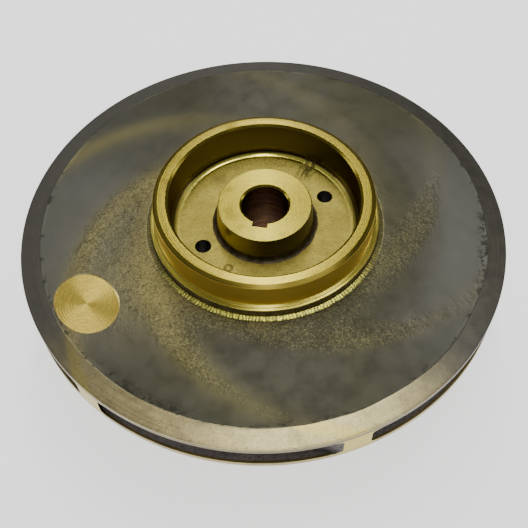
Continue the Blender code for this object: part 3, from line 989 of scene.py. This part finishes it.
def build_rear_ring():
    """The ring with its chamfers, the stepped collar at its foot and the fillet inside."""
    top, wall, inside, collar, foot, ledge, chamfer = range(7)
    outline = Outline()
    outline.add([(FILLET_IN_R, FLOOR_UP - 0.03), (COLLAR_R - 0.2, FLOOR_UP + 0.02), (COLLAR_R, 1.0)], collar)
    outline.near(COLLAR_R, COLLAR_UP, ledge, (0.0, -0.9), (-0.15, -0.67), (-1.1, -0.44))
    outline.near(COLLAR_R, COLLAR_UP, ledge, (-1.25, -0.56), (-1.45, -0.56), (-1.6, -0.32))
    outline.near(RING_OUT_R, COLLAR_UP, ledge, (0.35, -0.02))
    outline.near(RING_OUT_R, COLLAR_UP, wall, (0.1, 0.08), (0.0, 0.33))
    chamfer_up = RING_TOP_UP - RING_OUT_CHAMFER_DROP
    outline.near(RING_OUT_R, chamfer_up, wall, (0.0, -0.12))
    outline.near(RING_OUT_R, chamfer_up, chamfer, (-0.15, 0.03))
    outline.near(RING_OUT_R - RING_OUT_CHAMFER, RING_TOP_UP, top, (0.1, -0.02), (-0.1, 0.0))
    outline.near(RING_IN_R + RING_IN_CHAMFER, RING_TOP_UP, top, (0.08, 0.0), (-0.06, -0.06))
    outline.add([(RING_IN_R, RING_TOP_UP - RING_IN_CHAMFER)], inside)
    outline.add([(RING_IN_R, FLOOR_UP + RING_FILLET + 0.6)], foot)
    outline.add(arc(RING_IN_R - RING_FILLET, FLOOR_UP + RING_FILLET, RING_FILLET, 0.0, -88.0, 12), foot)
    mats = [RING_TOP, RING_WALL, RING_INSIDE, COLLAR, CHAMBER, PAINTED_LIGHT_LEDGE, RING_CHAMFER]
    ring = turned_mesh("rear_ring_turned", outline, mats, RING_STEPS)
    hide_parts("rear_ring")
    return ring


def hub_outline():
    """The section: the nose, the curve into the passage, the foot, the side, the top and the bore."""
    top, side, foot, bore, passage, nose = range(6)
    outline = Outline()
    outline.near(BORE_R, NOSE_UP, nose, (0.0, BORE_BREAK), (BORE_BREAK, 0.0))
    outline.near(NOSE_R, NOSE_UP, nose, (-0.8, 0.0), (-0.2, 0.25))
    outline.near(NOSE_R, NOSE_UP, passage, (0.0, 0.9))
    waist = BACK_IN_R - 0.1
    for i in range(1, 13):
        radius = NOSE_R + (waist - NOSE_R) * (i / 12.0) ** 2
        outline.add([(radius, BACK_FACE.up(radius) - 0.02)], passage)
    outline.add([(waist, FLOOR_UP - 0.4), (HUB_FOOT_R, FLOOR_UP - 0.1)], foot)
    outline.add(arc(HUB_FOOT_R, FLOOR_UP + HUB_FILLET, HUB_FILLET, 266.0, 188.0, 8), foot)
    outline.add([(HUB_SIDE_FOOT_R, FLOOR_UP + HUB_FILLET + 0.4)], side)
    outline.near(HUB_TOP_R, HUB_TOP_UP, side, (0.0, -0.6), (-0.15, -0.25))
    outline.near(HUB_TOP_R, HUB_TOP_UP, top, (-0.4, -0.03), (-0.6, 0.0))
    outline.near(BORE_R + BORE_BREAK, HUB_TOP_UP, top, (0.05, 0.0), (-0.1, -0.1))
    outline.add([(BORE_R, HUB_TOP_UP - BORE_BREAK)], bore)
    return outline


def ragged_foot(radius, turn, up):
    """Makes the cast fillet at the hub's foot uneven."""
    if radius > BACK_IN_R + 0.1 and up < HUB_FILLET:
        radius += 0.45 * ripple(*flat(radius, turn), 3.5, 9.0)
    return radius, up


def build_hub():
    mats = [HUB_TOP, HUB_SIDE, FOOT, BORE, PASSAGE, SUCTION_METAL]
    hub = turned_mesh("hub_turned", hub_outline(), mats, RING_STEPS, ragged_foot)
    cut_with(hub, [keyway_cutter()])
    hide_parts("hub")
    return hub


def keyway_cutter():
    """A bar along the bore, its edges slightly broken."""
    bm = bmesh.new()
    half = KEY_WIDTH / 2.0
    section = [(0.0, -half), (KEY_TOP - KEY_BREAK, -half), (KEY_TOP, -half + KEY_BREAK)]
    section += [(KEY_TOP, half - KEY_BREAK), (KEY_TOP - KEY_BREAK, half), (0.0, half)]
    turned = Matrix.Rotation(KEY_TURN, 3, "Z")
    ends = []
    for up in (NOSE_UP - 5.0, HUB_TOP_UP + 5.0):
        ends.append([bm.verts.new(turned @ Vector((x, y, up + RIM_Z)) * MM) for x, y in section])
    return capped("keyway_cutter", bm, ends, BORE)


def front_outline():
    """The section: along the passage into the eye, round the shoulder and out over the cast skin."""
    skin, band, passage = range(3)
    slope = math.degrees(FRONT_SLOPE)
    rim_top = FRONT_FACE.cone_up(RIM_R)
    rim_foot = rim_top - FRONT_EDGE
    band_part = (FRONT_BAND_R - FRONT_SKIN_R) / (RIM_R - FRONT_SKIN_R)
    band_up = FRONT_SKIN_UP + (rim_foot - FRONT_SKIN_UP) * band_part
    outline = Outline()
    outline.near(RIM_R, rim_top, band, (0.0, -0.35), (-0.1, -0.1), (-0.4, 0.0))
    inward = np.linspace(RIM_R - PASSAGE_INSET, FRONT_FACE.tangent_r, 14).tolist()
    outline.add([(radius, FRONT_FACE.cone_up(radius)) for radius in inward], passage)
    into_eye = FRONT_FACE.curve(FRONT_ARC_R, 90.0 + slope, FRONT_FACE.angle(SPLIT_UP), 14)
    outline.add(into_eye[1:], passage)
    outline.near(COLLAR_R, SPLIT_UP, band, (-0.3, 0.0), (0.0, 0.3))
    outline.near(COLLAR_R, SHOULDER_UP, band, (0.0, 0.0), (0.2, 0.5))
    around = FRONT_FACE.curve(FRONT_SKIN_ARC_R, 122.0, 90.0 + slope, 8)
    outline.add(around[:-1], skin)
    outline.add(line((FRONT_SKIN_R, FRONT_SKIN_UP), (FRONT_BAND_R, band_up), 34), skin)
    outline.near(FRONT_BAND_R, band_up, band, (0.0, 0.0), (0.2, 0.15))
    outline.near(RIM_R, rim_foot, band, (-0.5, -0.02), (-0.15, 0.08), (0.0, 0.4))
    return outline


def front_skin(radius, turn, up):
    """Makes the outer cast face slightly uneven."""
    if FRONT_SKIN_R < radius < FRONT_BAND_R - 1.0 and up < FRONT_FACE.cone_up(radius) - 1.0:
        x, y = flat(radius, turn)
        up += 0.1 * ripple(x, y, 28.0, 11.0) + 0.04 * ripple(x, y, 7.0, 12.0)
    return radius, up


def build_front_shroud():
    mats = [OUTSIDE, EDGE, PASSAGE]
    shroud = turned_mesh("front_shroud_casting", front_outline(), mats, FRONT_STEPS, front_skin)
    paint(shroud, brass=brass_amount, grime=front_grime_amount, print=rim_print)
    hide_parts("front_shroud")
    return shroud


def build_suction_ring():
    """The ring round the eye: the end of the curve into it, the face and the outer wall."""
    metal, inside = range(2)
    outline = Outline()
    outline.add(FRONT_FACE.curve(FRONT_ARC_R, FRONT_FACE.angle(RING_HEAD_UP), 180.0, 8), inside)
    outline.near(EYE_R, RING_FOOT_UP, metal, (0.0, 1.0), (0.9, 0.05), (1.1, 0.0))
    outline.near(RING_OUT_R, RING_FOOT_UP, metal, (-1.6, 0.0), (-1.4, 0.05), (-0.05, 1.4), (0.0, 1.6))
    outline.add([(RING_OUT_R, RING_HEAD_UP)], metal)
    ring = turned_mesh("suction_ring_turned", outline, [SUCTION_METAL, EYE_METAL], RING_STEPS)
    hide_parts("suction_ring")
    return ring


def vane_root(half, face_up, fillet, side):
    """Half width and height through a root's fillet; side is 1 above the face and -1 below it."""
    levels = []
    for i in range(4):
        angle = math.radians(30.0 * i)
        widen = fillet * (1.0 - math.sin(angle))
        off = fillet * (1.0 - math.cos(angle)) - (VANE_BURY if i == 0 else 0.0)
        levels.append((half + widen, face_up + side * off))
    return levels


def vane_levels(radius):
    """Half width and height of a vane's side, from its foot to its top, at one radius."""
    half = VANE_THICK / 2.0 * float(smooth(radius, VANE_HUB_R - 5.0, VANE_HUB_R + 14.0))
    top = BACK_FACE.up(radius)
    foot = FRONT_FACE.up(max(radius, VANE_EYE_R))
    if radius < VANE_EYE_R:
        rise = (VANE_EYE_R - radius) / (VANE_EYE_R - VANE_HUB_R)
        foot += (top - 2.5 - foot) * rise
        levels = [(half * 0.45, foot), (half * 0.85, foot + 0.5), (half, foot + 1.0), (half, foot + 1.2)]
    else:
        levels = vane_root(half, foot, VANE_FILLET, 1.0)
    fillet = min(VANE_FILLET, (top - foot) * 0.3)
    return levels + vane_root(half, top, fillet, -1.0)[::-1]


def vane_row(bm, radius, middle, part):
    """The points of a vane at one radius; part runs from -1 on its left side to 1 on its right."""
    spread = part * math.hypot(1.0, vane_lean(radius)) / radius
    return [bm.verts.new(point_at(radius, middle + half * spread, up)) for half, up in vane_levels(radius)]


def vane_tip(bm, left, right, radius, middle):
    """The turned end face, a grid between the two sides' last rows."""
    columns = [left]
    for column in range(1, VANE_TIP_COLUMNS):
        columns.append(vane_row(bm, radius, middle, 2.0 * column / VANE_TIP_COLUMNS - 1.0))
    columns.append(right)
    for i in range(len(left) - 1):
        for here, there in zip(columns, columns[1:]):
            face = bm.faces.new((here[i], there[i], there[i + 1], here[i + 1]))
            face.material_index = 1
    for i in (0, -1):
        bm.faces.new([column[i] for column in columns])


def build_vane(number):
    """One vane with rounded roots at both shrouds and a turned tip."""
    bm = bmesh.new()
    rows = []
    for radius in np.linspace(VANE_HUB_R + 0.4, RIM_R - 0.02, VANE_STATIONS).tolist():
        middle = VANE_TIP_TURN + 2.0 * math.pi * number / VANES + vane_angle(radius)
        rows.append((vane_row(bm, radius, middle, -1.0), vane_row(bm, radius, middle, 1.0)))
    count = len(rows[0][0])
    for here, there in zip(rows, rows[1:]):
        for i in range(count - 1):
            bm.faces.new((here[0][i], here[0][i + 1], there[0][i + 1], there[0][i]))
            bm.faces.new((here[1][i], there[1][i], there[1][i + 1], here[1][i + 1]))
        for i in (0, count - 1):
            bm.faces.new((here[0][i], there[0][i], there[1][i], here[1][i]))
    left, right = rows[0]
    for i in range(count - 1):
        bm.faces.new((left[i], left[i + 1], right[i + 1], right[i]))
    vane_tip(bm, *rows[-1], radius, middle)
    vane = finished(f"vane_{number + 1}_casting", bm, [VANE_SIDE_SHADE, TIP], VANE_SHARP)
    paint(vane, grime=0.0, print=0.8)
    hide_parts(f"vane_{number + 1}")
    return vane


# Studio


def build_floor():
    bm = bmesh.new()
    bmesh.ops.create_grid(bm, x_segments=1, y_segments=1, size=3.0)
    floor = finished("studio_floor", bm, [floor_paint()])


def area_light(name, place, size, power):
    """A rectangular light that points at the object's middle."""
    data = bpy.data.lights.new(name, "AREA")
    data.shape = "RECTANGLE"
    data.size = size[0]
    data.size_y = size[1]
    data.energy = power
    lamp = linked(name, data)
    lamp.location = place
    lamp.rotation_euler = (Vector(LIGHT_AIM) - Vector(place)).to_track_quat("-Z", "Y").to_euler()


def build_lights():
    """A long narrow light overhead, brightest behind, as the flat faces show, and weak fill."""
    for number, (near_y, far_y, glow) in enumerate(STRIP):
        length = far_y - near_y
        power = glow * math.pi * STRIP_WIDTH * length
        place = (0.0, (near_y + far_y) / 2.0, STRIP_UP)
        area_light(f"overhead_{number}", place, (STRIP_WIDTH, length), power)
    for name, (place, size, power) in FILLS.items():
        area_light(name, place, size, power)
    world = bpy.data.worlds.new("studio")
    world.use_nodes = True
    background = world.node_tree.nodes["Background"]
    background.inputs["Color"].default_value = (0.85, 0.85, 0.83, 1.0)
    background.inputs["Strength"].default_value = WORLD_GLOW
    bpy.context.scene.world = world


def build_camera():
    data = bpy.data.cameras.new("camera")
    data.sensor_width = SENSOR_WIDTH
    data.lens = FOCAL_PIXELS / IMAGE_WIDTH * SENSOR_WIDTH
    data.shift_x = -CENTRE_SHIFT_PIXELS / IMAGE_WIDTH
    data.clip_start = 0.01
    camera = linked("camera", data)
    back = -CAMERA_DISTANCE * math.cos(CAMERA_ELEVATION)
    height = RIM_Z + CAMERA_DISTANCE * math.sin(CAMERA_ELEVATION)
    place = Vector((0.0, back, height)) * MM
    aim = Vector((*CAMERA_AIM, RIM_Z)) * MM
    turn = (aim - place).to_track_quat("-Z", "Y").to_matrix()
    turn = turn @ Matrix.Rotation(CAMERA_ROLL, 3, "Z")
    camera.matrix_world = Matrix.Translation(place) @ turn.to_4x4()
    bpy.context.scene.camera = camera


def main():
    pieces = [build_back_shroud(), build_spot(), build_rear_ring(), build_hub()]
    pieces += [build_front_shroud(), build_suction_ring()]
    pieces += [build_vane(number) for number in range(VANES)]
    for piece in pieces:
        even_shading(piece)
        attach(piece, "root")
    build_floor()
    build_lights()
    build_camera()


main()
